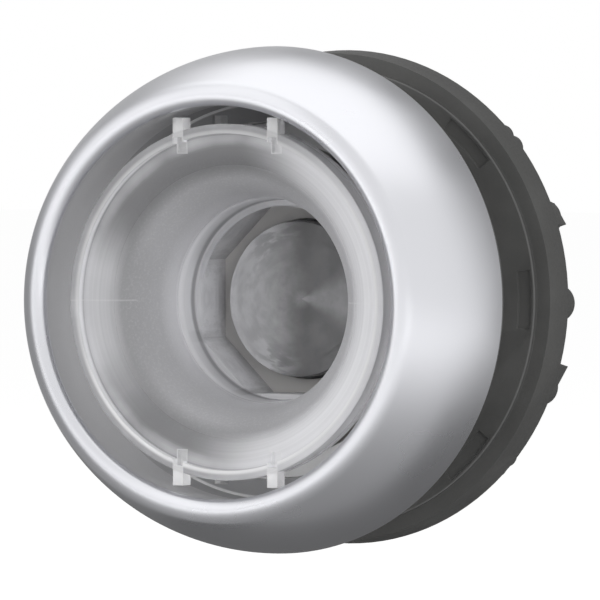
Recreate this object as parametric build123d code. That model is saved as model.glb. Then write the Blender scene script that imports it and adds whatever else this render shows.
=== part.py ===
from build123d import *
from math import cos, radians, sin, sqrt
import os

# The front element of a round 22 mm illuminated pushbutton, shown without its button plate:
# a satin bezel, a translucent cup that is pressed inwards, and a ring nut behind the panel.
# The button's axis is the Y axis, the user stands at -Y, and +Z is up.
# The origin is on the axis, in the plane of the panel's front face, where the gasket seats.
# Lengths are in millimetres. In a turned outline a point is (radius, y).

# Clearances
running_gap = 0.06       # a ring or sleeve that slides on its mate
guide_gap = 0.15         # moulded parts that guide each other loosely
seat_gap = 0.04          # parts that are pressed or clipped together
free_gap = 0.35          # left between moving parts at the end of their travel
overcut = 1.0            # how far a cutting shape runs past the surface it cuts,
                         # and how far an added lug is rooted in its ring

# What the button does
press_travel = 4.8       # the cup goes in this far

# Barrel and its head, which the bezel covers
barrel_r = 11.1          # passes through a 22.5 mm panel hole
barrel_length = 14.2     # from the panel's front face to the rear end
plain_length = 0.9       # unthreaded length that fills the panel hole
thread_root_r = 10.72    # root of the thread for the lock ring
thread_end = 10.2        # where the thread stops
spigot_r = 10.5          # plain rear end that a contact carrier clips on
barrel_bore_r = 9.6
front_bore_r = 10.45     # wider bore that the cup's skirt enters
head_r = 12.85
head_height = 3.0        # from the head's rear face to its front edge
floor_thickness = 1.2    # the step inside the head that the lugs run down to
well_r = 11.6            # the round well between the cup and the bezel
key_width = 3.0          # nose that stops the barrel turning in the panel
key_r = 12.05
snap_height = 0.15       # bead that holds the bezel on the head
snap_width = 0.7
latch_groove_depth = 0.25
latch_groove_width = 0.9
latch_groove_start = 11.2
coupling_slot_width = 3.0
coupling_slot_depth = 1.5

# Bezel
bezel_r = 14.85
bezel_depth = 7.85
bezel_curve_r = 16.0     # the gentle curve from the rear edge to the lip
lip_r = 12.15            # radius of the foremost circle of the lip
lip_round = 0.65
lip_turn = 30.0          # degrees from square, where the gentle curve meets the lip
bezel_edge = 0.2         # bevel around the rear edge

# Panel gasket
gasket_thickness = 1.1
gasket_r = 14.45
gasket_edge = 0.3        # bevel around the outer edges

# Lock ring
lock_ring_gap = 5.35     # clear space between gasket and lock ring as it is supplied
rim_front_r = 14.52
rim_draft = 0.21         # the rim widens by this towards the rear
rim_height = 2.0
land_setback = 0.87      # from the rim's front edge in to the land that presses on the panel
land_height = 0.35
land_edge = 0.2          # unbroken edge around the recesses in the land
recess_count = 8
recess_width_deg = 15.0
recess_depth = 0.15
recess_span = 0.85
hub_setback = 1.32       # from the rim's front edge in to the rear hub
lock_ring_thickness = 4.65
rib_r = 1.1              # round ribs along the hub, one every rib_spacing_deg
rib_proud = 0.85
rib_spacing_deg = 22.5
rib_turn_deg = -1.2      # the first rib, from +X towards +Z
pair_turn_deg = 1.9      # a rib halfway between two quarters is a pair, this far to each side
pair_r = 0.75
tooth_turn_deg = 0.8     # the middle of each pair of ratchet teeth, from +X towards +Z
tooth_tip_deg = 17.2     # how far a tooth's tip stands from that middle
tooth_span_deg = 6.0
tooth_proud = 0.98
tooth_slope = 0.28       # a tooth is this much lower where it meets the next rib

# Button cup
cup_r = 10.3
cup_recess = 1.55        # the cup's rim lies this far behind the bezel's lip
rim_wall = 0.55
rim_depth = 0.5          # recess that takes the button plate
ledge_width = 0.25
skirt_length = 1.6
throat_r = 6.0
funnel_depth = 5.1       # from the ledge to the throat
throat_length = 1.6
throat_narrowing = 0.15
window_apothem = 5.55    # half the width of the eight-sided light well
window_corners = 8
tube_length = 3.05
tube_r = 7.0
plate_lug_offset = 3.1   # the four lugs on the rim stand this far each side of the middle
plate_lug_width = 0.68
plate_lug_depth = 0.9
plate_lug_reach = 11.1
notch_width = 0.6
notch_depth = 0.35
tube_bead_height = 0.2
tube_bead_width = 0.5
tube_bead_setback = 1.0  # from the tube's rear end

# Light lens and its seal
lens_seal_thickness = 0.5
lens_seal_inner_r = 4.75
lens_flange_thickness = 0.8
lens_r = 4.6
lens_height = 1.75
dish_depth = 0.45
lamp_recess_r = 3.4
lamp_recess_depth = 1.1

# Plunger
plunger_sleeve_r = 7.9
plunger_sleeve_length = 3.9
bead_groove_r = 7.5      # groove for the diaphragm's inner bead
bead_groove_width = 0.9
bead_groove_setback = 0.3
lamp_bore_r = 5.0
lamp_tube_r = 6.05
lamp_tube_length = 4.3
spring_flange_thickness = 1.0
leg_inner_r = 6.5
leg_r = 7.8
leg_half_angle = 27.0
leg_reach = 1.4          # the legs stand this far out of the barrel
barb_reach = 0.6
barb_length = 0.9

# Diaphragm and the ring that clamps it
clamp_thickness = 0.9
clamp_inner_r = 9.2
outer_bead_width = 1.0
outer_bead_length = 1.0
web_thickness = 0.3
web_depth = 1.3          # straight part of the fold, behind the outer bead
inner_bead_length = 0.8

# Return spring
wire_r = 0.3
wire_sides = 8           # the wire's section, kept to few faces
spring_r = 8.65          # mean radius of the coils
coil_pitch = 1.95

# Rear guide
guide_thickness = 1.2
guide_inset = 0.2        # behind this the barrel's end stands proud
guide_bore_r = 6.3
leg_slot_clearance = 0.2
leg_slot_side_deg = 2.0
tab_width = 2.8
tab_proud = 0.55
tab_thickness = 0.6

# Places that follow from the sizes above
head_back = -gasket_thickness
head_front = head_back - head_height
floor_front = head_back - floor_thickness
lip_front = head_back - bezel_depth
rim_front = lip_front + cup_recess
ledge_front = rim_front + rim_depth
recess_r = cup_r - rim_wall
funnel_r = recess_r - ledge_width
throat_front = ledge_front + funnel_depth
well_front = throat_front + throat_length
tube_back = well_front + tube_length
seal_back = tube_back + lens_seal_thickness
lens_back = seal_back + lens_flange_thickness
shoulder_front = lens_back + seat_gap
spring_front = shoulder_front + spring_flange_thickness
guide_back = barrel_length - guide_inset
guide_front = guide_back - guide_thickness
clamp_front = rim_front + skirt_length + press_travel + free_gap
outer_bead_front = clamp_front + clamp_thickness
bead_seat = outer_bead_front + outer_bead_length
sleeve_front = shoulder_front - plunger_sleeve_length
rim_rear_r = rim_front_r + rim_draft
land_r = rim_front_r - land_setback
recess_outer_r = land_r - land_edge
recess_inner_r = recess_outer_r - recess_span
hub_r = rim_front_r - hub_setback


def turned(outline):
    """Turns a closed outline, of (radius, y) points or of curves, about the Y axis."""
    if isinstance(outline[0], tuple):
        face = make_face(Polyline(*outline, close=True))
    else:
        face = make_face(Curve() + list(outline))
    return revolve(face, Axis.Y)


def tube(inner_r, outer_r, front, back):
    """A plain ring between two places along the axis."""
    return turned([(inner_r, front), (outer_r, front), (outer_r, back), (inner_r, back)])


def slab(outline, front, back):
    """A flat outline, drawn as seen by the user, made as thick as from front to back."""
    return extrude(Plane.XZ.offset(-back) * outline, amount=back - front)


def block(x_range, z_range, front, back):
    """A box given by its X and Z ranges, between two places along the axis."""
    width = x_range[1] - x_range[0]
    height = z_range[1] - z_range[0]
    middle = (x_range[0] + width / 2, z_range[0] + height / 2)
    return slab(Pos(*middle) * Rectangle(width, height), front, back)


def sector(inner_r, outer_r, middle_deg, half_angle):
    """A flat ring sector, with its angle counted from +X towards +Z."""
    reach = 2 * outer_r
    side = radians(half_angle)
    corners = [(0, 0), (reach * cos(side), -reach * sin(side)), (reach * cos(side), reach * sin(side))]
    wedge = Polygon(*corners, align=None)
    return Rot(0, 0, middle_deg) * ((Circle(outer_r) - Circle(inner_r)) & wedge)


def around(shape, angle_deg):
    """Turns a solid about the button's axis, from +X towards +Z."""
    return Rot(0, -angle_deg, 0) * shape


def on_circle(radius, x):
    """Height above the axis of the point of a circle that lies at x."""
    return sqrt(radius ** 2 - x ** 2)


def bezel():
    """The satin ring: a gentle outer curve, a rounded lip, and a seat for the barrel's head."""
    turn = radians(lip_turn)
    lip_centre = lip_front + lip_round
    shoulder = (lip_r + lip_round * cos(turn), lip_centre - lip_round * sin(turn))
    opening = (lip_r - lip_round, lip_centre)
    rear_edge = (bezel_r, head_back - bezel_edge)
    seat_r = head_r + seat_gap
    outline = [
        RadiusArc(rear_edge, shoulder, bezel_curve_r),
        ThreePointArc(shoulder, (lip_r, lip_front), opening),
        Polyline(opening, (well_r, head_front), (seat_r, head_front), (seat_r, head_back),
                 (bezel_r - bezel_edge, head_back), rear_edge),
    ]
    return turned(outline) - snap_bead(head_r, snap_height + seat_gap, snap_width + 2 * seat_gap)


def snap_bead(radius, height, width):
    """A ridge around the barrel's head, halfway up it. The bezel's groove is a larger copy."""
    middle = (head_back + head_front) / 2
    return turned([
        (radius - height, middle - width / 2),
        (radius, middle - width / 2),
        (radius + height, middle),
        (radius, middle + width / 2),
        (radius - height, middle + width / 2),
    ])


def plate_lug_box(side, top, extra, front, back):
    """The space of one of the four upright lugs on the cup's rim, or of its pocket in the floor."""
    half_width = plate_lug_width / 2 + extra
    x_range = (side * plate_lug_offset - half_width, side * plate_lug_offset + half_width)
    inner = on_circle(recess_r, plate_lug_offset)
    outer = on_circle(plate_lug_reach, plate_lug_offset) + extra
    z_range = (inner, outer) if top > 0 else (-outer, -inner)
    return block(x_range, z_range, front, back)


def housing():
    """The black barrel with its head, thread root, anti-turn nose and rear spigot."""
    barrel = turned([
        (well_r, head_front),
        (head_r, head_front),
        (head_r, head_back),
        (barrel_r, head_back),
        (barrel_r, plain_length),
        (thread_root_r, plain_length),
        (thread_root_r, thread_end),
        (spigot_r, thread_end),
        (spigot_r, barrel_length),
        (barrel_bore_r, barrel_length),
        (barrel_bore_r, bead_seat),
        (front_bore_r, bead_seat),
        (front_bore_r, floor_front),
        (well_r, floor_front),
    ])
    barrel += snap_bead(head_r, snap_height, snap_width)
    nose_base = (barrel_r + front_bore_r) / 2
    barrel += block((-key_width / 2, key_width / 2), (nose_base, key_r), head_back, plain_length)

    pocket_back = rim_front + plate_lug_depth + press_travel + free_gap
    for side in (-1, 1):
        for top in (-1, 1):
            barrel -= plate_lug_box(side, top, guide_gap, floor_front, pocket_back)

    groove_end = latch_groove_start + latch_groove_width
    barrel -= tube(spigot_r - latch_groove_depth, spigot_r + overcut, latch_groove_start, groove_end)
    slot_front = barrel_length - coupling_slot_depth
    half_slot = coupling_slot_width / 2
    for side in (0, 180):
        slot = block((0, spigot_r + overcut), (-half_slot, half_slot), slot_front, barrel_length)
        barrel -= around(slot, side)
    half_window = tab_width / 2 + guide_gap
    middle = (guide_front + guide_back) / 2
    reach = tab_thickness / 2 + guide_gap
    for side in (90, 270):
        window_x = (0, spigot_r + overcut)
        window = block(window_x, (-half_window, half_window), middle - reach, middle + reach)
        barrel -= around(window, side)
    return barrel


def panel_gasket():
    """The flat rubber ring under the head, notched for the nose."""
    middle = ((barrel_r + guide_gap + gasket_r) / 2, head_back / 2)
    section = Pos(*middle) * Rectangle(gasket_r - barrel_r - guide_gap, gasket_thickness)
    outer_corners = section.vertices().group_by(Axis.X)[-1]
    ring = revolve(chamfer(outer_corners, gasket_edge), Axis.Y)
    half_notch = key_width / 2 + guide_gap
    return ring - block((-half_notch, half_notch), (0, key_r + guide_gap), head_back, 0)


def hub_rib(angle_deg, radius, front, back):
    """A round rib along the lock ring's hub, half sunk in it."""
    centre = hub_r + rib_proud - radius
    return around(slab(Pos(centre, 0) * Circle(radius), front, back), angle_deg)


def hub_tooth(front, back):
    """A ratchet tooth: a face square to the hub, a sharp tip, and a slope to the next rib."""
    def at(radius, angle_deg):
        return (radius * cos(radians(angle_deg)), radius * sin(radians(angle_deg)))
    tip_r = hub_r + tooth_proud
    foot_deg = tooth_tip_deg + tooth_span_deg
    corners = [
        at(hub_r - overcut, tooth_tip_deg),
        at(tip_r, tooth_tip_deg),
        at(tip_r - tooth_slope, foot_deg),
        at(hub_r - overcut, foot_deg),
    ]
    return slab(Polygon(*corners, align=None), front, back)


def lock_ring():
    """The ring nut: a land that meets the panel, a plain rim and a ribbed hub for the wrench."""
    front = lock_ring_gap
    rim_front_y = front + land_height
    rim_back = rim_front_y + rim_height
    back = front + lock_ring_thickness
    bore_r = thread_root_r + running_gap
    ring = turned([
        (bore_r, front),
        (land_r, front),
        (land_r, rim_front_y),
        (rim_front_r, rim_front_y),
        (rim_rear_r, rim_back),
        (hub_r, rim_back),
        (hub_r, back),
        (bore_r, back),
    ])
    tooth = hub_tooth(rim_back, back)
    for quarter in (0, 90, 180, 270):
        ring += around(tooth, quarter + tooth_turn_deg)
        ring += around(mirror(tooth, Plane.XY), quarter + tooth_turn_deg)
        first = quarter + rib_turn_deg
        for step in (-1, 0, 1):
            ring += hub_rib(first + step * rib_spacing_deg, rib_r, rim_back, back)
        for side in (-1, 1):
            half_way = first + 2 * rib_spacing_deg
            ring += hub_rib(half_way + side * pair_turn_deg, pair_r, rim_back, back)
    for step in range(recess_count):
        half = recess_width_deg / 2
        flat = sector(recess_inner_r, recess_outer_r, step * 360 / recess_count, half)
        ring -= slab(flat, front, front + recess_depth)
    return ring


def button_cup():
    """The translucent cup: a recessed rim, a trumpet-shaped funnel and an eight-sided well."""
    skirt_back = rim_front + skirt_length
    outer_ellipse_depth = throat_front - skirt_back
    funnel_middle = (funnel_r, throat_front)
    bead_back = tube_back - tube_bead_setback
    inside_r = window_apothem - running_gap
    outline = [
        Polyline((funnel_r, skirt_back), (cup_r, skirt_back), (cup_r, rim_front),
                 (recess_r, rim_front), (recess_r, ledge_front), (funnel_r, ledge_front)),
        EllipticalCenterArc(funnel_middle, funnel_r - throat_r, funnel_depth, 180, arc_size=90),
        Polyline((throat_r, throat_front), (throat_r - throat_narrowing, well_front),
                 (inside_r, well_front), (inside_r, tube_back), (tube_r, tube_back),
                 (tube_r, bead_back), (tube_r + tube_bead_height, bead_back - tube_bead_width / 2),
                 (tube_r, bead_back - tube_bead_width), (tube_r, throat_front)),
        EllipticalCenterArc(funnel_middle, funnel_r - tube_r, outer_ellipse_depth, 180, arc_size=90),
    ]
    cup = turned(outline)
    turn = 180 / window_corners
    window = Rot(0, 0, turn) * RegularPolygon(window_apothem, window_corners, major_radius=False)
    cup -= slab(window, well_front, tube_back)
    for side in (-1, 1):
        for top in (-1, 1):
            cup += plate_lug_box(side, top, 0, rim_front, rim_front + plate_lug_depth)
            cup -= rim_notch(side * plate_lug_offset, top)
    return cup


def rim_notch(x, top):
    """A small notch that breaks the ledge and the inner edge of the rim."""
    inner = on_circle(funnel_r, x) - notch_depth
    outer = on_circle(recess_r, x) + rim_wall / 2
    z_range = (inner, outer) if top > 0 else (-outer, -inner)
    return block((x - notch_width / 2, x + notch_width / 2), z_range, rim_front, ledge_front + notch_depth)


def lens_seal():
    """The flat seal between the cup's tube and the lens."""
    return tube(lens_seal_inner_r, tube_r - seat_gap, tube_back, seal_back)


def light_lens():
    """The clear lens: a flange, a boss with a shallow cone in its face, a recess for the lamp."""
    lens_front = seal_back - lens_height
    recess_front = lens_back - lamp_recess_depth
    return turned([
        (0, lens_front + dish_depth),
        (lens_r, lens_front),
        (lens_r, seal_back),
        (tube_r, seal_back),
        (tube_r, lens_back),
        (lamp_recess_r, lens_back),
        (lamp_recess_r, recess_front),
        (0, recess_front),
    ])


def plunger():
    """Carries the cup: a socket, a spring flange, a lamp tube and two legs with barbed ends."""
    socket_r = tube_r + seat_gap
    groove_front = sleeve_front + bead_groove_setback
    groove_back = groove_front + bead_groove_width
    flange_r = barrel_bore_r - guide_gap
    tube_end = shoulder_front + lamp_tube_length
    bead_back = tube_back - tube_bead_setback + seat_gap
    bead_front = bead_back - tube_bead_width - 2 * seat_gap
    body = turned([
        (socket_r, sleeve_front),
        (plunger_sleeve_r, sleeve_front),
        (plunger_sleeve_r, groove_front),
        (bead_groove_r, groove_front),
        (bead_groove_r, groove_back),
        (plunger_sleeve_r, groove_back),
        (plunger_sleeve_r, shoulder_front),
        (flange_r, shoulder_front),
        (flange_r, spring_front),
        (lamp_tube_r, spring_front),
        (lamp_tube_r, tube_end),
        (lamp_bore_r, tube_end),
        (lamp_bore_r, shoulder_front),
        (socket_r, shoulder_front),
        (socket_r, bead_back),
        (socket_r + tube_bead_height, (bead_front + bead_back) / 2),
        (socket_r, bead_front),
    ])
    leg_end = barrel_length + leg_reach
    barb_front = guide_back + seat_gap
    for side in (0, 180):
        body += slab(sector(leg_inner_r, leg_r, side, leg_half_angle), spring_front, leg_end)
        barb = sector(leg_inner_r, leg_r + barb_reach, side, leg_half_angle / 2)
        body += slab(barb, barb_front, barb_front + barb_length)
    return body


def diaphragm_clamp():
    """The ring that presses the diaphragm's outer bead on its step in the barrel."""
    return tube(clamp_inner_r, front_bore_r - seat_gap, clamp_front, outer_bead_front)


def diaphragm():
    """The rubber membrane between barrel and plunger: two beads joined by a rolling fold."""
    outer_r = front_bore_r - seat_gap
    bead_inner_r = outer_r - outer_bead_width
    inner_front = sleeve_front + bead_groove_setback + seat_gap
    inner_back = inner_front + inner_bead_length
    inner_r = bead_groove_r + seat_gap
    inner_leg_r = plunger_sleeve_r + web_thickness / 2
    outer_leg_r = bead_inner_r - web_thickness
    bend = (bead_inner_r - inner_leg_r) / 3
    fold_front = bead_seat + web_depth
    fold_back = fold_front + bend
    return turned([
        (inner_r, inner_front),
        (inner_leg_r + web_thickness, inner_front),
        (inner_leg_r + web_thickness, fold_front - web_thickness / 2),
        (inner_leg_r + bend, fold_back - web_thickness),
        (bead_inner_r - bend, fold_back - web_thickness),
        (outer_leg_r, fold_front - web_thickness / 2),
        (outer_leg_r, outer_bead_front),
        (outer_r, outer_bead_front),
        (outer_r, bead_seat),
        (bead_inner_r, bead_seat),
        (bead_inner_r, fold_front),
        (bead_inner_r - bend, fold_back),
        (inner_leg_r + bend, fold_back),
        (inner_leg_r, fold_front),
        (inner_leg_r, inner_back),
        (inner_r, inner_back),
    ])


def return_spring():
    """An open-wound coil between the plunger's flange and the rear guide, with ground ends."""
    length = guide_front - spring_front
    path = Helix(coil_pitch, length, spring_r, center=(0, spring_front, 0), direction=(0, 1, 0))
    section = Plane(origin=path @ 0, z_dir=path % 0) * RegularPolygon(wire_r, wire_sides)
    coil = sweep(section, path)
    return coil & tube(0, spring_r + overcut, spring_front + seat_gap, guide_front - seat_gap)


def rear_guide():
    """The disc that closes the barrel: it holds the spring and lets the plunger's legs through."""
    disc = slab(Circle(barrel_bore_r - seat_gap) - Circle(guide_bore_r), guide_front, guide_back)
    slot_r = leg_r + leg_slot_clearance
    for side in (0, 180):
        slot = sector(guide_bore_r - guide_gap, slot_r, side, leg_half_angle + leg_slot_side_deg)
        disc -= slab(slot, guide_front, guide_back)
    middle = (guide_front + guide_back) / 2
    front = middle - tab_thickness / 2
    back = middle + tab_thickness / 2
    half_tab = tab_width / 2
    for side in (90, 270):
        tab_x = (barrel_bore_r - overcut, barrel_bore_r + tab_proud)
        tab = block(tab_x, (-half_tab, half_tab), front, back)
        disc += around(tab, side)
    return disc


sub_parts = {
    "bezel": bezel,
    "housing": housing,
    "panel_gasket": panel_gasket,
    "lock_ring": lock_ring,
    "button_cup": button_cup,
    "lens_seal": lens_seal,
    "light_lens": light_lens,
    "plunger": plunger,
    "diaphragm": diaphragm,
    "diaphragm_clamp": diaphragm_clamp,
    "return_spring": return_spring,
    "rear_guide": rear_guide,
}

os.makedirs("parts", exist_ok=True)
for name, make in sub_parts.items():
    export_step(make(), f"parts/{name}.step")
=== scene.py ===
from math import atan, cos, degrees, pi, radians, sin, sqrt

import bmesh
import bpy
from mathutils import Matrix, Vector

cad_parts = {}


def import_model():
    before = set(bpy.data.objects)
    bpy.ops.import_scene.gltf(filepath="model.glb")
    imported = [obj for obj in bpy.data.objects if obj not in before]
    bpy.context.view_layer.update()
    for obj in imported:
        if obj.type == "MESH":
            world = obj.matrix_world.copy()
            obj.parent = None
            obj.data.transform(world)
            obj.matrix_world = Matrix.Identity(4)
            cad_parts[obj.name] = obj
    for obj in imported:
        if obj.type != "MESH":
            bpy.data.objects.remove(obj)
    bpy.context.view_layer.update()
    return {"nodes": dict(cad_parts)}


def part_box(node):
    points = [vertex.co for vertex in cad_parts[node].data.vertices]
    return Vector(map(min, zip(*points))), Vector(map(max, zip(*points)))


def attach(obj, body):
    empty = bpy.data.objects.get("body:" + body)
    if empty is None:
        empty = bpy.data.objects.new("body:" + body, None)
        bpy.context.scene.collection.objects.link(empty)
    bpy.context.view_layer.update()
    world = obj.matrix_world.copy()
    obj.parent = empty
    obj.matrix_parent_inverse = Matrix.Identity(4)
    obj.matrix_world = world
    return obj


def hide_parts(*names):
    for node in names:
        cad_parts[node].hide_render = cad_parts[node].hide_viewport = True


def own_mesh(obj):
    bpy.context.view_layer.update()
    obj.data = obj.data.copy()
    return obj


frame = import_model()

# The front element of a round 22 mm illuminated pushbutton, seen from its front right.
# The button's axis is the Y axis, the user stands at -Y, and +Z is up.
# Sizes are in millimetres and become metres in the meshes. A turned outline is (radius, y) points.
# Points nearer to each other than same_point are merged.
MM = 0.001
FULL_TURN = 2 * pi
same_point = 0.0001


def span_y(node):
    """Front and back of a CAD node along the button's axis, in millimetres."""
    low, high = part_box(node)
    return low.y / MM, high.y / MM


def reach_x(node):
    """Largest distance of a CAD node from the button's axis, in millimetres."""
    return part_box(node)[1].x / MM


# Sizes that the pieces made here share with the solids
bezel_front, bezel_back = span_y("bezel")
bezel_r = reach_x("bezel")
bezel_curve_r = 16.0
lip_r = 11.98
lip_outer_round = 0.95
lip_inner_round = 0.63
lip_turn = 31.0
bezel_edge = 0.2
head_front = bezel_back - 3.0
floor_front = bezel_back - 1.2
well_r = 11.6
seat_r = 12.89

cup_front, cup_back = span_y("button_cup")
cup_r = reach_x("button_cup")
rim_wall = 0.55
rim_depth = 0.5
ledge_width = 0.25
skirt_length = 1.6
throat_r = 6.0
funnel_depth = 5.1
throat_length = 1.6
throat_narrowing = 0.15
window_apothem = 5.55
window_corners = 8
window_core_r = 5.49  # the round bore that the eight-sided window's cut takes away
tube_r = 7.0
plate_lug_offset = 3.1
plate_lug_width = 0.68
plate_lug_depth = 0.9
plate_lug_reach = 11.1
notch_width = 0.6
notch_depth = 0.35

lens_front, lens_back = span_y("light_lens")
lens_r = 4.6
lens_flange = 0.8
dish_depth = 0.45
lamp_recess_r = 3.4
lamp_recess_depth = 1.1

barrel_r = 11.1
thread_root_r = 10.72
thread_pitch = 1.5
thread_front = 0.9
thread_back = 10.2
thread_crest = 0.25
thread_root = 0.85
thread_sunk = 0.15

nut_front = span_y("lock_ring")[0]
nut_land_r = 13.65
nut_recess_r = 13.45

wire_r = 0.3
spring_r = 8.65
coil_pitch = 1.95


# Mesh helpers
def ellipse(centre, radii, start_deg, end_deg, steps):
    """Points of an elliptical arc in a turned outline, its angle counted from the radius towards +Y."""
    turns = [radians(start_deg + (end_deg - start_deg) * step / steps) for step in range(steps + 1)]
    return [(centre[0] + radii[0] * cos(t), centre[1] + radii[1] * sin(t)) for t in turns]


def arc(centre, radius, start_deg, end_deg, steps):
    """Points of a round arc in a turned outline."""
    return ellipse(centre, (radius, radius), start_deg, end_deg, steps)


def on_circle(radius, x):
    """Height above the axis of the point of a circle that lies at x."""
    return sqrt(radius ** 2 - x ** 2)


def merge(bm):
    """Merges points that lie in the same place."""
    bmesh.ops.remove_doubles(bm, verts=bm.verts, dist=same_point * MM)


def turned(outline, steps):
    """A closed outline spun about the Y axis."""
    bm = bmesh.new()
    verts = [bm.verts.new((r * MM, y * MM, 0)) for r, y in outline]
    edges = [bm.edges.new((a, b)) for a, b in zip(verts, verts[1:] + verts[:1])]
    bmesh.ops.spin(bm, geom=verts + edges, cent=(0, 0, 0), axis=(0, 1, 0), dvec=(0, 0, 0),
                   angle=FULL_TURN, steps=steps, use_merge=True, use_duplicate=False)
    merge(bm)
    bmesh.ops.dissolve_degenerate(bm, edges=bm.edges, dist=same_point * MM)
    bmesh.ops.recalc_face_normals(bm, faces=bm.faces)
    return bm


def wound(bm, advance, turns, steps):
    """Winds a flat section about the Y axis into a closed coil that advances at every step."""
    section = list(bm.verts) + list(bm.edges) + list(bm.faces)
    bmesh.ops.spin(bm, geom=section, cent=(0, 0, 0), axis=(0, 1, 0), dvec=(0, advance * MM, 0),
                   angle=FULL_TURN * turns, steps=steps, use_merge=False, use_duplicate=False)
    merge(bm)
    bmesh.ops.holes_fill(bm, edges=[e for e in bm.edges if e.is_boundary], sides=0)
    bmesh.ops.recalc_face_normals(bm, faces=bm.faces)


def block(x_range, y_range, z_range):
    """A box between two corners."""
    bm = bmesh.new()
    bmesh.ops.create_cube(bm, size=1.0)
    size = [(b - a) * MM for a, b in (x_range, y_range, z_range)]
    middle = [(a + b) / 2 * MM for a, b in (x_range, y_range, z_range)]
    bmesh.ops.scale(bm, vec=size, verts=bm.verts)
    bmesh.ops.translate(bm, vec=middle, verts=bm.verts)
    return bm


def round_edges(bm, width, segments, corner_deg=25.0):
    """Rounds every edge that turns by more than corner_deg."""
    corner = radians(corner_deg)
    sharp = [e for e in bm.edges if len(e.link_faces) == 2 and e.calc_face_angle(0) > corner]
    bmesh.ops.bevel(bm, geom=sharp, offset=width * MM, offset_type="OFFSET", segments=segments,
                    profile=0.5, affect="EDGES", clamp_overlap=True, material=-1, loop_slide=True)


def to_object(name, bm, smooth_deg=35.0):
    """A mesh object at the origin from a bmesh, shaded smooth up to smooth_deg."""
    mesh = bpy.data.meshes.new(name)
    bm.to_mesh(mesh)
    bm.free()
    mesh.shade_smooth()
    mesh.set_sharp_from_angle(angle=radians(smooth_deg))
    piece = bpy.data.objects.new(name, mesh)
    bpy.context.scene.collection.objects.link(piece)
    return piece


def joined(piece, tools):
    """Cuts away or adds each (operation, tool object) in turn, and deletes the tools."""
    for operation, tool in tools:
        step = piece.modifiers.new(operation.lower(), "BOOLEAN")
        step.operation = operation
        step.object = tool
        step.solver = "EXACT"
    bpy.context.view_layer.update()
    shaped = piece.evaluated_get(bpy.context.evaluated_depsgraph_get())
    bm = bmesh.new()
    bm.from_mesh(shaped.to_mesh())
    piece.modifiers.clear()
    for _, tool in tools:
        bpy.data.objects.remove(tool)
    return bm


def finish_piece(piece, material, slot, body, *nodes):
    """Gives a piece its material, and lets it ride in place of its CAD nodes. The slot argument is not
    used.
    """
    piece.data.materials.clear()
    piece.data.materials.append(material)
    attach(piece, body)
    if nodes:
        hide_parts(*nodes)
    return piece


def softened_copy(node, name, edge, flat_deg=0.4):
    """A merged copy of a CAD node, with flat faces made whole and its edges slightly rounded."""
    bm = bmesh.new()
    bm.from_mesh(frame["nodes"][node].data)
    merge(bm)
    bmesh.ops.dissolve_limit(bm, angle_limit=radians(flat_deg), verts=bm.verts, edges=bm.edges,
                             use_dissolve_boundaries=False)
    round_edges(bm, edge, 2)
    return to_object(name, bm)


# Material helpers
def add_node(tree, kind, inputs, **settings):
    """A node whose inputs are given by name or number, as values or as outputs to link."""
    made = tree.nodes.new(kind)
    for name, value in settings.items():
        setattr(made, name, value)
    for name, value in inputs.items():
        if isinstance(value, bpy.types.NodeSocket):
            tree.links.new(value, made.inputs[name])
        else:
            made.inputs[name].default_value = value
    return made


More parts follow.
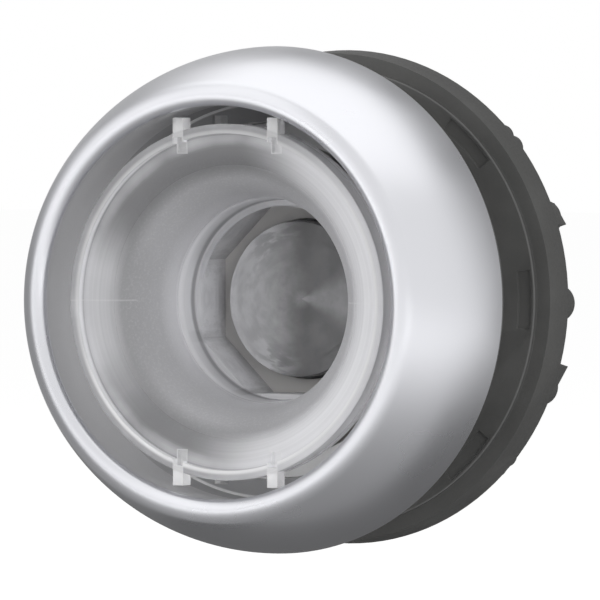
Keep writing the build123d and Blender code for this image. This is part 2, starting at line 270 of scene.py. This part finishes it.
class Finish:
    """A material on Object coordinates, with one principled shader."""

    def __init__(self, name, **sockets):
        """Plain values for the shader's sockets; an underscore in a name stands for a space."""
        self.material = bpy.data.materials.new(name)
        self.material.use_nodes = True
        self.tree = self.material.node_tree
        self.shader = self.tree.nodes["Principled BSDF"]
        self.place = self.node("ShaderNodeTexCoord", {}).outputs["Object"]
        for socket, value in sockets.items():
            self.shader.inputs[socket.replace("_", " ")].default_value = value

    def link(self, source, socket):
        self.tree.links.new(source, self.shader.inputs[socket])

    def node(self, kind, inputs, **settings):
        return add_node(self.tree, kind, inputs, **settings)

    def noise(self, size, detail=2.0, roughness=0.5, place=None):
        """Noise whose grains are about size millimetres across."""
        inputs = {"Vector": place or self.place, "Scale": 1 / (size * MM), "Detail": detail,
                  "Roughness": roughness}
        return self.node("ShaderNodeTexNoise", inputs).outputs["Fac"]

    def maths(self, operation, a, b=0.0, c=0.0):
        return self.node("ShaderNodeMath", {0: a, 1: b, 2: c}, operation=operation).outputs[0]

    def product(self, *shares):
        total = shares[0]
        for share in shares[1:]:
            total = self.maths("MULTIPLY", total, share)
        return total

    def between(self, value, low, high, to_low=0.0, to_high=1.0, smooth=True):
        """Maps low..high to to_low..to_high, held level outside."""
        kind = "SMOOTHSTEP" if smooth else "LINEAR"
        inputs = {"Value": value, "From Min": low, "From Max": high, "To Min": to_low, "To Max": to_high}
        return self.node("ShaderNodeMapRange", inputs, interpolation_type=kind, clamp=True).outputs[0]

    def past(self, length, start, end, share=1.0):
        """0 up to start and the share from end on, both in millimetres."""
        return self.between(length, start * MM, end * MM, 0.0, share)

    def until(self, length, start, end, share=1.0):
        """The share up to start and 0 from end on, both in millimetres."""
        return self.between(length, start * MM, end * MM, share, 0.0)

    def near(self, length, middle, inner, outer, share=1.0):
        """The share within inner millimetres of the middle, and 0 beyond outer."""
        off = self.maths("ABSOLUTE", self.maths("SUBTRACT", length, middle * MM))
        return self.until(off, inner, outer, share)

    def mix(self, share, a, b):
        """Mixes two colours, each a triple or an output."""
        a, b = ((*c, 1.0) if isinstance(c, tuple) else c for c in (a, b))
        return self.node("ShaderNodeMix", {0: share, 6: a, 7: b}, data_type="RGBA").outputs[2]

    def shades(self, place, tones):
        """Cool greys by place, from (millimetres, grey) pairs."""
        first, last = tones[0][0], tones[-1][0]
        share = self.between(place, first * MM, last * MM, smooth=False)
        ramp = self.node("ShaderNodeValToRGB", {0: share})
        stops = ramp.color_ramp.elements
        for number, (at, grey) in enumerate(tones):
            where = (at - first) / (last - first)
            stop = stops[0] if number == 0 else stops[-1] if number == 1 else stops.new(where)
            stop.position = where
            stop.color = (grey * 0.97, grey * 0.97, grey, 1.0)
        return ramp.outputs[0]

    def split(self):
        """The x, y and z outputs of the place, in metres."""
        return self.node("ShaderNodeSeparateXYZ", {0: self.place}).outputs

    def radius(self):
        """Distance from the button's axis, in metres."""
        flat = self.node("ShaderNodeVectorMath", {0: self.place, 1: (1, 0, 1)}, operation="MULTIPLY")
        return self.node("ShaderNodeVectorMath", {0: flat.outputs[0]}, operation="LENGTH").outputs["Value"]

    def bump(self, height, depth, strength=1.0):
        """Bump of depth millimetres from a 0 to 1 height."""
        inputs = {"Height": height, "Distance": depth * MM, "Strength": strength}
        self.link(self.node("ShaderNodeBump", inputs).outputs["Normal"], "Normal")


def satin_metal():
    """Fine satin metal outside, and a dull cast grey on the wall inside the opening, painted paler deeper
    in as painted light against the shade there.
    """
    finish = Finish("satin_metal")
    cloud = finish.noise(6.0, detail=3.0)
    fine = finish.noise(0.12, detail=3.0)
    y = finish.split()[1]
    lip_end = bezel_front + lip_inner_round
    outside = finish.maths("MAXIMUM", finish.until(y, lip_end - 0.15, lip_end + 0.15),
                           finish.past(finish.radius(), well_r + 0.1, well_r + 0.2))
    satin = finish.mix(cloud, (0.685, 0.69, 0.722), (0.72, 0.725, 0.757))
    # The cast grey is painted paler deeper in the opening: painted light that offsets the shade there.
    painted_light_deeper = finish.between(y, lip_end * MM, head_front * MM, smooth=False)
    cast = finish.mix(painted_light_deeper, (0.42, 0.42, 0.43), (0.68, 0.68, 0.69))
    cast = finish.mix(finish.maths("MULTIPLY", fine, 0.2), cast, (0.34, 0.34, 0.35))
    finish.link(finish.mix(outside, cast, satin), "Base Color")
    finish.link(finish.between(outside, 0, 1, 0.15, 1.0, smooth=False), "Metallic")
    gloss = finish.between(cloud, 0.3, 0.7, 0.27, 0.33)
    finish.link(finish.maths("ADD", gloss, finish.between(outside, 0, 1, 0.25, 0.0)), "Roughness")
    finish.bump(fine, 0.004, 0.2)
    return finish.material


def moulded(name, colour, roughness):
    """The finish of matte moulded plastic, with a spark-eroded grain and faint flow marks."""
    finish = Finish(name, Specular_IOR_Level=0.45)
    fine = finish.noise(0.16, detail=4.0, roughness=0.6)
    cloud = finish.noise(5.0)
    pale = tuple(c * 1.25 + 0.004 for c in colour)
    finish.colour = finish.mix(finish.between(cloud, 0.35, 0.7), colour, pale)
    finish.link(finish.colour, "Base Color")
    finish.link(finish.between(fine, 0.3, 0.7, roughness - 0.06, roughness + 0.06), "Roughness")
    finish.bump(fine, 0.012, 0.7)
    return finish


def barrel_plastic():
    """Black moulded plastic, with the bezel's cast grey in the well, a painted bright glint at its corner
    and painted light in the lug pockets.
    """
    finish = moulded("black_plastic", (0.035, 0.035, 0.036), 0.5)
    y = finish.split()[1]
    radius = finish.radius()
    pale = (0.95, 0.95, 0.95)
    # A painted glint: a thin pale line where the well's floor meets its wall.
    corner = finish.product(finish.near(y, floor_front, 0.03, 0.14),
                            finish.past(radius, well_r - 0.2, well_r - 0.1))
    grey = finish.mix(corner, (0.43, 0.43, 0.44), pale)
    # Painted light: from just behind the floor on, the well is painted pale so that the shade in the lug
    # pockets doesn't show.
    painted_light_in_pockets = finish.past(y, floor_front + 0.15, floor_front + 0.35)
    grey = finish.mix(painted_light_in_pockets, grey, pale)
    # These limits also take in the barrel's outside ahead of the ring nut, which should be black.
    in_well = finish.product(finish.until(y, floor_front + 7.0, floor_front + 8.0),
                             finish.until(radius, well_r + 0.02, well_r + 0.1))
    finish.link(finish.mix(in_well, finish.colour, grey), "Base Color")
    return finish.material


def nut_plastic():
    """Dark grey moulded plastic of the ring nut, with a painted highlight line around its land and painted
    light on the walls of its recesses.
    """
    finish = moulded("grey_plastic", (0.075, 0.075, 0.073), 0.55)
    y = finish.split()[1]
    radius = finish.radius()
    # A painted highlight: a thin paler line along the edge of the land on the front face.
    painted_land_highlight = finish.product(finish.near(radius, nut_land_r, 0.04, 0.10, share=0.7),
                          finish.until(y, nut_front + 0.08, nut_front + 0.14))
    # Painted light: the recess walls are painted paler so that their shade shows less.
    painted_recess_light = finish.product(finish.past(radius, nut_recess_r - 0.12, nut_recess_r - 0.03),
                                 finish.until(radius, nut_recess_r, nut_recess_r + 0.05),
                                 finish.past(y, nut_front + 0.02, nut_front + 0.08))
    painted_light_share = finish.maths("MAXIMUM", painted_land_highlight, painted_recess_light)
    finish.link(finish.mix(painted_light_share, finish.colour, (0.19, 0.19, 0.19)), "Base Color")
    return finish.material


def rubber(name, colour):
    """Dull rubber with a soft bloom."""
    finish = Finish(name, Specular_IOR_Level=0.35)
    fine = finish.noise(0.09, detail=3.0)
    bloom = finish.noise(2.5, detail=4.0)
    grey = tuple(c + 0.02 for c in colour)
    finish.link(finish.mix(finish.between(bloom, 0.4, 0.75), colour, grey), "Base Color")
    finish.link(finish.between(bloom, 0.3, 0.7, 0.62, 0.78), "Roughness")
    finish.bump(fine, 0.006, 0.6)
    return finish.material


# How pale the cup's plastic is painted from the rim, over the recess, mouth and funnel, to the throat and
# the
# well: (millimetres behind the ledge, grey). The tones hold painted light and shade: painted shade at the
# upper left and partly at the lower left, a middle tone at the left, painted light on the right, and
# painted highlights on the recess wall and in a band near the throat.
painted_shade_tones = (
    (-0.50, 0.42), (-0.40, 0.97), (-0.08, 0.97), (0.05, 0.23), (0.50, 0.24), (1.25, 0.48), (3.0, 0.56),
    (4.4, 0.74), (5.0, 1.0), (5.9, 0.70), (6.2, 0.42), (6.45, 0.42), (6.6, 0.85), (7.2, 1.0),
)
painted_middle_tones = (
    (-0.50, 0.54), (-0.40, 0.98), (-0.08, 0.98), (0.05, 0.76), (0.30, 0.70), (0.81, 0.37), (3.0, 0.52),
    (3.7, 0.68), (4.5, 0.80), (4.8, 1.0), (6.05, 1.0), (6.2, 0.5), (6.45, 0.5), (6.6, 0.95),
)
painted_lit_tones = (
    (-0.50, 0.93), (0.0, 0.97), (0.30, 0.88), (0.81, 0.48), (3.0, 0.45), (4.4, 0.58), (6.7, 0.62),
)


def cup_tone(finish, depth, cloud):
    """The cup's painted light and shade around and along the funnel: painted shade at the upper left, a
    middle tone at the left and painted light on the right.
    """
    x, _, z = finish.split()
    radius = finish.radius()
    height = finish.maths("ABSOLUTE", z)
    # From -1 a little above the left to 0.95 at the right, and 0 at 20 degrees right of the top and
    # almost at the bottom.
    across = finish.maths("MULTIPLY_ADD", z, -0.195, finish.maths("MULTIPLY", x, 0.95))
    across = finish.maths("DIVIDE", finish.maths("MULTIPLY_ADD", height, -0.145, across), radius)
    # 1 at the top, 0.75 at the bottom and 0 at the sides, with a cloudy edge.
    upright = finish.maths("DIVIDE", finish.maths("MAXIMUM", z, finish.maths("MULTIPLY", z, -0.75)), radius)
    upright = finish.maths("ADD", upright, finish.maths("MULTIPLY_ADD", cloud, 0.1, -0.05))
    # Painted light on the right and painted shade at the upper left, set by direction around the axis.
    tone = finish.mix(finish.between(across, -0.1, 0.75), finish.shades(depth, painted_middle_tones),
                      finish.shades(depth, painted_lit_tones))
    painted_shade_share = finish.product(finish.between(upright, 0.15, 0.65),
                                 finish.between(across, -0.3, 0.3, 1.0, 0.0))
    return finish.mix(painted_shade_share, tone, finish.shades(depth, painted_shade_tones))


def rim_marks(finish, depth):
    """What is painted on the cup's rim, as (share, colour) pairs to lay over its tone in turn: a painted
    highlight along the recess edge, painted light on the outer wall and in the notches, painted shade in
    the recess corner, and the mould seam.
    """
    x, y, z = finish.split()
    radius = finish.radius()
    recess_r = cup_r - rim_wall
    lower_right = finish.maths("MULTIPLY_ADD", x, -0.5, z)
    # A painted highlight along the inner edge of the rim, stronger towards one side.
    painted_edge_highlight = finish.product(finish.until(y, cup_front + 0.05, cup_front + 0.15),
                                 finish.until(radius, recess_r + 0.12, recess_r + 0.30),
                                 finish.between(lower_right, -2.0 * MM, 3.0 * MM, 0.95, 0.45))
    # Painted light on the cup's outer wall, where the gap around it lies in shade.
    painted_outer_wall_light = finish.product(finish.past(radius, cup_r - 0.12, cup_r - 0.05),
                                finish.past(depth, -0.4, -0.3))
    # Painted shade: a dark line in the corner at the foot of the recess wall.
    painted_corner_shade = finish.product(finish.near(radius, recess_r - 0.05, 0.02, 0.08, share=0.3),
                                 finish.past(depth, -0.2, -0.1))
    seam = finish.product(finish.near(z, 0.0, 0.02, 0.07, share=0.35),
                          finish.until(depth, 1.4, 1.8, share=0.7))
    notch_end = on_circle(recess_r - ledge_width, plate_lug_offset) - notch_depth
    notch_back = cup_front + rim_depth + notch_depth
    # Painted light: the notches are painted pale so that their shade hardly shows.
    painted_notch_light = finish.product(finish.near(finish.maths("ABSOLUTE", x), plate_lug_offset,
                                          notch_width / 2 + 0.02, notch_width / 2 + 0.08, share=0.6),
                              finish.past(finish.maths("ABSOLUTE", z), notch_end - 0.09, notch_end - 0.03),
                              finish.until(y, notch_back, notch_back + 0.05))
    return [(painted_edge_highlight, (0.99, 0.99, 1.0)), (painted_outer_wall_light, (0.97, 0.97, 0.99)),
            (painted_corner_shade, (0.12, 0.12, 0.13)), (seam, (0.95, 0.95, 0.95)), (painted_notch_light, (0.95, 0.95, 0.96))]


def frosted_plastic():
    """Translucent cup plastic: glassy at the rim and the throat, frosted in the funnel."""
    finish = Finish("frosted_plastic", IOR=1.5, Subsurface_Weight=0.2,
                    Subsurface_Radius=(0.0012, 0.0012, 0.0012))
    y = finish.split()[1]
    radius = finish.radius()
    ledge = cup_front + rim_depth
    throat = ledge + funnel_depth
    speck = finish.noise(0.14, detail=4.0, roughness=0.65)
    cloud = finish.noise(3.0, detail=3.0)
    rings = finish.node("ShaderNodeCombineXYZ", {0: finish.maths("MULTIPLY", radius, 9.0), 1: y})
    lines = finish.noise(1.6, detail=5.0, roughness=0.7, place=rings.outputs[0])
    frosted = finish.product(finish.past(y, ledge, ledge + 1.4),
                             finish.until(y, throat - 1.0, throat - 0.1))
    glassy = finish.maths("SUBTRACT", 1.0, frosted)
    # The cloud moves the tones back and forth a little, so that they don't run in perfect rings.
    waver = finish.maths("MULTIPLY_ADD", cloud, 0.1 * MM, -0.05 * MM)
    depth = finish.maths("ADD", finish.maths("SUBTRACT", y, ledge * MM), waver)

    spots = finish.product(finish.between(speck, 0.45, 0.75), frosted, 0.2)
    ringed = finish.product(finish.between(lines, 0.35, 0.6, 1.0, 0.0),
                            finish.between(y, (throat + 0.1) * MM, (throat + 0.7) * MM, 0.12, 0.22), glassy)
    lugs = finish.past(radius, cup_r - 0.02, cup_r + 0.1)
    marks = rim_marks(finish, depth)
    marks += [(spots, (0.90, 0.90, 0.91)), (ringed, (0.20, 0.20, 0.21)), (lugs, (0.93, 0.93, 0.94))]
    tone = cup_tone(finish, depth, cloud)
    for share, colour in marks:
        tone = finish.mix(share, tone, colour)
    finish.link(tone, "Base Color")

    finish.link(finish.between(frosted, 0, 1, 0.16, 0.5, smooth=False), "Roughness")
    off_band = finish.maths("SUBTRACT", 1.0, finish.near(y, throat + 0.3, 0.4, 0.9))
    clear = finish.product(finish.between(frosted, 0, 1, 0.3, 0.12, smooth=False), off_band)
    finish.link(finish.maths("MULTIPLY_ADD", lugs, 0.1, clear), "Transmission Weight")
    grain = finish.product(speck, frosted)
    finish.bump(finish.maths("MULTIPLY_ADD", lines, 0.25, grain), 0.012, 0.6)
    return finish.material


def clear_lens():
    """Slightly smoky clear plastic, with painted light to the left and in a wedge at the right, a painted
    highlight at its centre and pale streaks near its left edge.
    """
    finish = Finish("clear_lens", IOR=1.49, Transmission_Weight=0.35, Roughness=0.16)
    x, _, z = finish.split()
    radius = finish.radius()
    from_right = finish.maths("ABSOLUTE", finish.maths("ARCTAN2", z, x))
    rings = finish.node("ShaderNodeCombineXYZ", {0: finish.maths("MULTIPLY", radius, 2.5),
                                                 1: finish.maths("MULTIPLY", from_right, 3.0 * MM), 2: z})
    streak = finish.noise(1.2, detail=4.0, place=rings.outputs[0])
    cloud = finish.noise(1.6, detail=4.0)
    # Painted light on the left side and in a wedge at the right, and a painted highlight at the centre,
    # stand in for how light passes through the cone.
    leftward = finish.maths("SUBTRACT", finish.maths("MULTIPLY_ADD", cloud, 1.0 * MM, -0.5 * MM), x)
    left = finish.past(leftward, -0.7, 3.6)
    right = finish.between(from_right, radians(8), radians(40), 0.28, 0.0)
    centre = finish.until(radius, 0.1, 0.7, share=0.22)
    frost = finish.product(finish.between(streak, 0.45, 0.62), finish.past(radius, 3.1, 3.9),
                           finish.until(x, -3.0, 0.6, share=0.6))
    pale = finish.maths("ADD", finish.maths("MAXIMUM", left, right), centre)
    pale = finish.maths("ADD", pale, frost)
    grey = finish.mix(finish.between(cloud, 0.35, 0.7), (0.14, 0.14, 0.145), (0.19, 0.19, 0.195))
    white = finish.mix(finish.between(streak, 0.3, 0.7), (0.78, 0.78, 0.80), (0.98, 0.98, 1.0))
    finish.link(finish.mix(pale, grey, white), "Base Color")
    finish.bump(finish.noise(0.6), 0.004, 0.4)
    return finish.material


def natural_plastic():
    """Uncoloured satin plastic of the plunger."""
    finish = Finish("natural_plastic", Subsurface_Weight=0.25, Subsurface_Radius=(0.001, 0.001, 0.001),
                    IOR=1.48)
    cloud = finish.noise(4.0)
    finish.link(finish.mix(cloud, (0.70, 0.70, 0.68), (0.78, 0.78, 0.76)), "Base Color")
    finish.link(finish.between(finish.noise(0.3), 0.3, 0.7, 0.34, 0.44), "Roughness")
    finish.bump(finish.noise(0.2, detail=3.0), 0.004, 0.4)
    return finish.material


def drawn_wire():
    """Bright spring steel."""
    finish = Finish("spring_steel", Metallic=1.0)
    cloud = finish.noise(0.8, detail=3.0)
    finish.link(finish.mix(cloud, (0.52, 0.52, 0.52), (0.66, 0.66, 0.65)), "Base Color")
    finish.link(finish.between(finish.noise(0.15), 0.3, 0.7, 0.2, 0.32), "Roughness")
    finish.bump(finish.noise(0.08), 0.003, 0.4)
    return finish.material


# Pieces
def bezel_ring():
    """The satin ring: its gentle outer curve, rounded lip and stepped inside."""
    turn = radians(lip_turn)
    lip_outer = (lip_r, bezel_front + lip_outer_round)
    lip_inner = (lip_r, bezel_front + lip_inner_round)
    shoulder = (lip_r + lip_outer_round * cos(turn), lip_outer[1] - lip_outer_round * sin(turn))
    rear = (bezel_r, bezel_back - bezel_edge)
    half_chord = sqrt((rear[0] - shoulder[0]) ** 2 + (rear[1] - shoulder[1]) ** 2) / 2
    middle = ((rear[0] + shoulder[0]) / 2, (rear[1] + shoulder[1]) / 2)
    along = ((shoulder[0] - rear[0]) / (2 * half_chord), (shoulder[1] - rear[1]) / (2 * half_chord))
    to_centre = sqrt(bezel_curve_r ** 2 - half_chord ** 2)
    centre = (middle[0] + along[1] * to_centre, middle[1] - along[0] * to_centre)
    start = degrees(atan((rear[1] - centre[1]) / (rear[0] - centre[0])))
    end = degrees(atan((shoulder[1] - centre[1]) / (shoulder[0] - centre[0])))
    outline = arc(centre, bezel_curve_r, start, end, 28)
    outline += arc(lip_outer, lip_outer_round, -lip_turn, -90, 9)[1:]
    outline += arc(lip_inner, lip_inner_round, -90, -180, 9)[1:]
    outline += [(well_r, head_front), (seat_r, head_front), (seat_r, bezel_back),
                (bezel_r - bezel_edge, bezel_back)]
    piece = to_object("bezel_ring", turned(outline, 256))
    return finish_piece(piece, satin_metal(), "satin_metal", "front_element", "bezel")


def cup_shell():
    """The translucent cup: rim, funnel, throat, eight-sided well, lugs and notches."""
    ledge_front = cup_front + rim_depth
    recess_r = cup_r - rim_wall
    funnel_r = recess_r - ledge_width
    throat_front = ledge_front + funnel_depth
    well_front = throat_front + throat_length
    skirt_back = cup_front + skirt_length
    middle = (funnel_r, throat_front)
    outline = [(cup_r, skirt_back), (cup_r, cup_front), (recess_r, cup_front), (recess_r, ledge_front)]
    outline += ellipse(middle, (funnel_r - throat_r, funnel_depth), 270, 180, 40)
    outline += [(throat_r - throat_narrowing, well_front), (window_core_r, well_front),
                (window_core_r, cup_back), (tube_r, cup_back)]
    outline += ellipse(middle, (funnel_r - tube_r, throat_front - skirt_back), 180, 270, 24)
    body = to_object("cup_body", turned(outline, 160))

    corner_r = window_apothem / cos(pi / window_corners)
    window_end = cup_back + 2
    prism = bmesh.new()
    bmesh.ops.create_cone(prism, cap_ends=True, segments=window_corners, radius1=corner_r * MM,
                          radius2=corner_r * MM, depth=(window_end - well_front) * MM)
    flat_left = Matrix.Rotation(pi / window_corners, 4, "Z")
    lay = Matrix.Rotation(pi / 2, 4, "X")
    place = Matrix.Translation((0, (well_front + window_end) / 2 * MM, 0))
    bmesh.ops.transform(prism, matrix=place @ lay @ flat_left, verts=prism.verts)
    tools = [("DIFFERENCE", to_object("cup_window", prism))]

    inner = on_circle(recess_r, plate_lug_offset)
    outer = on_circle(plate_lug_reach, plate_lug_offset)
    half_lug = plate_lug_width / 2
    half_notch = notch_width / 2
    notch_inner = on_circle(funnel_r, plate_lug_offset) - notch_depth
    notch_outer = inner + rim_wall / 2
    lug_y = (cup_front, cup_front + plate_lug_depth)
    notch_y = (cup_front - 1, ledge_front + notch_depth)
    for side in (-1, 1):
        x = side * plate_lug_offset
        for z_range in ((inner, outer), (-outer, -inner)):
            lug = block((x - half_lug, x + half_lug), lug_y, z_range)
            tools.append(("UNION", to_object("cup_lug", lug)))
        for z_range in ((notch_inner, notch_outer), (-notch_outer, -notch_inner)):
            notch = block((x - half_notch, x + half_notch), notch_y, z_range)
            tools.append(("DIFFERENCE", to_object("cup_notch", notch)))
    bm = joined(body, tools)
    bpy.data.objects.remove(body)
    merge(bm)
    round_edges(bm, 0.06, 2, corner_deg=28)
    piece = to_object("cup_shell", bm)
    piece.visible_shadow = False
    return finish_piece(piece, frosted_plastic(), "frosted_plastic", "button", "button_cup")


def lens_disc():
    """The lens, with a shallow cone in its face and a recess for the lamp."""
    flange_front = lens_back - lens_flange
    recess_front = lens_back - lamp_recess_depth
    outline = [(0, lens_front + dish_depth), (lens_r, lens_front), (lens_r, flange_front),
               (tube_r, flange_front), (tube_r, lens_back), (lamp_recess_r, lens_back),
               (lamp_recess_r, recess_front), (0, recess_front)]
    bm = turned(outline, 128)
    round_edges(bm, 0.08, 2)
    piece = to_object("lens_disc", bm)
    return finish_piece(piece, clear_lens(), "clear_plastic", "button", "light_lens")


def barrel_thread():
    """The thread's ridge, one turn every 1.5 mm along the barrel, its foot sunk into the barrel."""
    foot_r = thread_root_r - thread_sunk
    half_root = thread_root / 2
    half_crest = thread_crest / 2
    section = [(foot_r, -half_root), (thread_root_r, -half_root), (barrel_r, -half_crest),
               (barrel_r, half_crest), (thread_root_r, half_root), (foot_r, half_root)]
    start = thread_front + half_root
    turns = (thread_back - thread_front - thread_root) / thread_pitch
    steps = int(turns * 96)
    bm = bmesh.new()
    bm.faces.new([bm.verts.new((r * MM, (start + y) * MM, 0)) for r, y in section])
    wound(bm, thread_pitch * turns / steps, turns, steps)
    piece = to_object("barrel_thread", bm)
    return finish_piece(piece, black_plastic, "black_plastic", "front_element")


def spring_coil():
    """The return spring's round wire, wound from the plunger's flange to the rear guide."""
    front, back = span_y("return_spring")
    length = back - front - 2 * wire_r
    turns = length / coil_pitch
    steps = int(turns * 72)
    bm = bmesh.new()
    bmesh.ops.create_circle(bm, cap_ends=True, segments=16, radius=wire_r * MM)
    place = Matrix.Translation((spring_r * MM, (front + wire_r) * MM, 0))
    bmesh.ops.transform(bm, matrix=place, verts=bm.verts)
    wound(bm, length / steps, turns, steps)
    piece = to_object("spring_coil", bm, smooth_deg=60)
    finish_piece(piece, drawn_wire(), "spring_steel", "front_element", "return_spring")
    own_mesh(piece)
    return piece


black_plastic = barrel_plastic()
grey_plastic = nut_plastic()
panel_rubber = rubber("panel_rubber", (0.11, 0.11, 0.113))
seal_rubber = rubber("seal_rubber", (0.62, 0.61, 0.595))
bezel_ring()
cup_shell()
lens_disc()
barrel_thread()
spring_coil()
for node, name, material, slot, body, edge in (
    ("housing", "barrel", black_plastic, "black_plastic", "front_element", 0.07),
    ("panel_gasket", "gasket_ring", panel_rubber, "black_rubber", "front_element", 0.08),
    ("lock_ring", "ring_nut", grey_plastic, "grey_plastic", "lock_ring", 0.07),
    ("lens_seal", "lens_gasket", seal_rubber, "seal_rubber", "button", 0.06),
    ("plunger", "plunger_body", natural_plastic(), "natural_plastic", "button", 0.07),
    ("diaphragm", "rolling_membrane", seal_rubber, "seal_rubber", "front_element", 0.05),
    ("diaphragm_clamp", "clamp_ring", black_plastic, "black_plastic", "front_element", 0.05),
    ("rear_guide", "guide_disc", black_plastic, "black_plastic", "front_element", 0.07),
):
    finish_piece(softened_copy(node, name, edge), material, slot, body, node)


# Studio
floor_z = -30.0
soft_level = 0.3
floor_glow = 0.76
floor_grey = 0.75


def camera():
    """A long lens at the photograph's angle: 28 degrees to the right, just above the axis."""
    azimuth = radians(28.0)
    elevation = radians(1.34)
    distance = 400.0
    shift_right = 1.382
    target = Vector((0, -1.1, 0))
    back = Vector((sin(azimuth) * cos(elevation), -cos(azimuth) * cos(elevation), sin(elevation)))
    right = Vector((cos(azimuth), sin(azimuth), 0))
    data = bpy.data.cameras.new("camera")
    data.sensor_width = 36.0
    data.lens = 409.9
    data.clip_start = 0.01
    data.clip_end = 20.0
    made = bpy.data.objects.new("camera", data)
    made.location = (target + back * distance + right * shift_right) * MM
    made.rotation_mode = "QUATERNION"
    made.rotation_quaternion = (-back).to_track_quat("-Z", "Y")
    bpy.context.scene.collection.objects.link(made)
    bpy.context.scene.camera = made


def empty_tree(block):
    """The emptied node tree of a new material or world."""
    block.use_nodes = True
    block.node_tree.nodes.clear()
    return block.node_tree


def seen_directly(tree):
    """1 for rays from the camera, a mirror or glass, 0 for the light that falls on the object."""
    path = add_node(tree, "ShaderNodeLightPath", {}).outputs
    total = path["Is Camera Ray"]
    for name in ("Is Glossy Ray", "Is Transmission Ray"):
        total = add_node(tree, "ShaderNodeMath", {0: total, 1: path[name]}, operation="ADD",
                         use_clamp=True).outputs[0]
    return total


def world():
    """White to the camera and in reflections, and a plain soft grey light on the object."""
    made = bpy.data.worlds.new("studio")
    bpy.context.scene.world = made
    tree = empty_tree(made)
    soft, white = (add_node(tree, "ShaderNodeBackground", {"Color": (1, 1, 1, 1), "Strength": strength})
                   for strength in (soft_level, 1.0))
    mix = add_node(tree, "ShaderNodeMixShader",
                   {0: seen_directly(tree), 1: soft.outputs[0], 2: white.outputs[0]})
    add_node(tree, "ShaderNodeOutputWorld", {"Surface": mix.outputs[0]})


def studio_floor():
    """A plain white floor that keeps the object's shadow."""
    bm = bmesh.new()
    bmesh.ops.create_grid(bm, x_segments=1, y_segments=1, size=3.0)
    bmesh.ops.translate(bm, vec=(0, 0, floor_z * MM), verts=bm.verts)
    floor = to_object("studio_floor", bm)
    material = bpy.data.materials.new("studio_white")
    tree = empty_tree(material)
    lit = add_node(tree, "ShaderNodeBsdfDiffuse", {"Color": (floor_grey, floor_grey, floor_grey, 1)})
    share = add_node(tree, "ShaderNodeMath", {0: seen_directly(tree), 1: floor_glow}, operation="MULTIPLY")
    glow = add_node(tree, "ShaderNodeEmission", {"Strength": share.outputs[0]})
    both = add_node(tree, "ShaderNodeAddShader", {0: lit.outputs[0], 1: glow.outputs[0]})
    add_node(tree, "ShaderNodeOutputMaterial", {"Surface": both.outputs[0]})
    floor.data.materials.append(material)


def facing(place, target=(0, 0, 0)):
    """A pose at a place in millimetres that looks at the target."""
    there = Vector(place) * MM
    turn = (Vector(target) * MM - there).to_track_quat("-Z", "Y")
    return Matrix.Translation(there) @ turn.to_matrix().to_4x4()


def card(name, place, width, height, level, target=(0, 0, 0), soft=0.5):
    """A soft-edged card beside the object, which shows only in its reflections."""
    bm = bmesh.new()
    bmesh.ops.create_grid(bm, x_segments=1, y_segments=1, size=0.5)
    bmesh.ops.scale(bm, vec=(width * MM, height * MM, 1), verts=bm.verts)
    made = to_object(name, bm)
    made.matrix_world = facing(place, target)
    material = bpy.data.materials.new(name)
    tree = empty_tree(material)
    place_on_card = add_node(tree, "ShaderNodeTexCoord", {}).outputs["Object"]
    axes = add_node(tree, "ShaderNodeSeparateXYZ", {0: place_on_card}).outputs
    covers = []
    for axis, size in ((axes[0], width), (axes[1], height)):
        distance = add_node(tree, "ShaderNodeMath", {0: axis}, operation="ABSOLUTE").outputs[0]
        edge = size / 2 * MM
        fade = {"Value": distance, "From Min": edge * (1 - soft), "From Max": edge, "To Min": 1.0,
                "To Max": 0.0}
        faded = add_node(tree, "ShaderNodeMapRange", fade, interpolation_type="SMOOTHSTEP")
        covers.append(faded.outputs[0])
    cover = add_node(tree, "ShaderNodeMath", {0: covers[0], 1: covers[1]}, operation="MULTIPLY").outputs[0]
    clear = add_node(tree, "ShaderNodeBsdfTransparent", {})
    grey = add_node(tree, "ShaderNodeEmission", {"Color": (level, level, level, 1)})
    mix = add_node(tree, "ShaderNodeMixShader", {0: cover, 1: clear.outputs[0], 2: grey.outputs[0]})
    add_node(tree, "ShaderNodeOutputMaterial", {"Surface": mix.outputs[0]})
    made.data.materials.append(material)
    made.visible_camera = False
    made.visible_shadow = False
    made.visible_diffuse = False
    made.visible_transmission = False


def soft_light(name, place, size, brightness):
    """A square softbox that faces the object. The cards stand for it in reflections."""
    data = bpy.data.lights.new(name, "AREA")
    data.shape = "SQUARE"
    data.size = size * MM
    data.energy = brightness * pi * (size * MM) ** 2
    made = bpy.data.objects.new(name, data)
    made.matrix_world = facing(place)
    made.visible_glossy = False
    bpy.context.scene.collection.objects.link(made)


camera()
world()
studio_floor()
card("card_below", (0, 5, floor_z + 1), 185, 185, 0.30, target=(0, 5, 0), soft=0.96)
card("card_low_behind", (-6, 14, -14), 210, 133, 0.135, soft=0.95)
card("card_left", (-19, -11, -6), 33, 59, 0.345, target=(0, -11, 0), soft=0.8)
card("card_left_behind", (-24, 5, 5), 62, 83, 0.48, soft=0.7)
card("card_behind", (12, 150, 90), 463, 350, 0.31, target=(0, 0, 90), soft=0.74)
card("card_above", (0, 98, 200), 500, 500, 1.38, soft=0.35)
card("card_front", (-104, -200, 148), 166, 374, 1.34, soft=0.37)
soft_light("top_light", (-60, -60, 300), 300, 0.3)
soft_light("left_light", (-270, -230, 100), 220, 4.5)
soft_light("right_light", (300, -185, 30), 220, 4.5)
bpy.context.scene.view_settings.view_transform = "Standard"
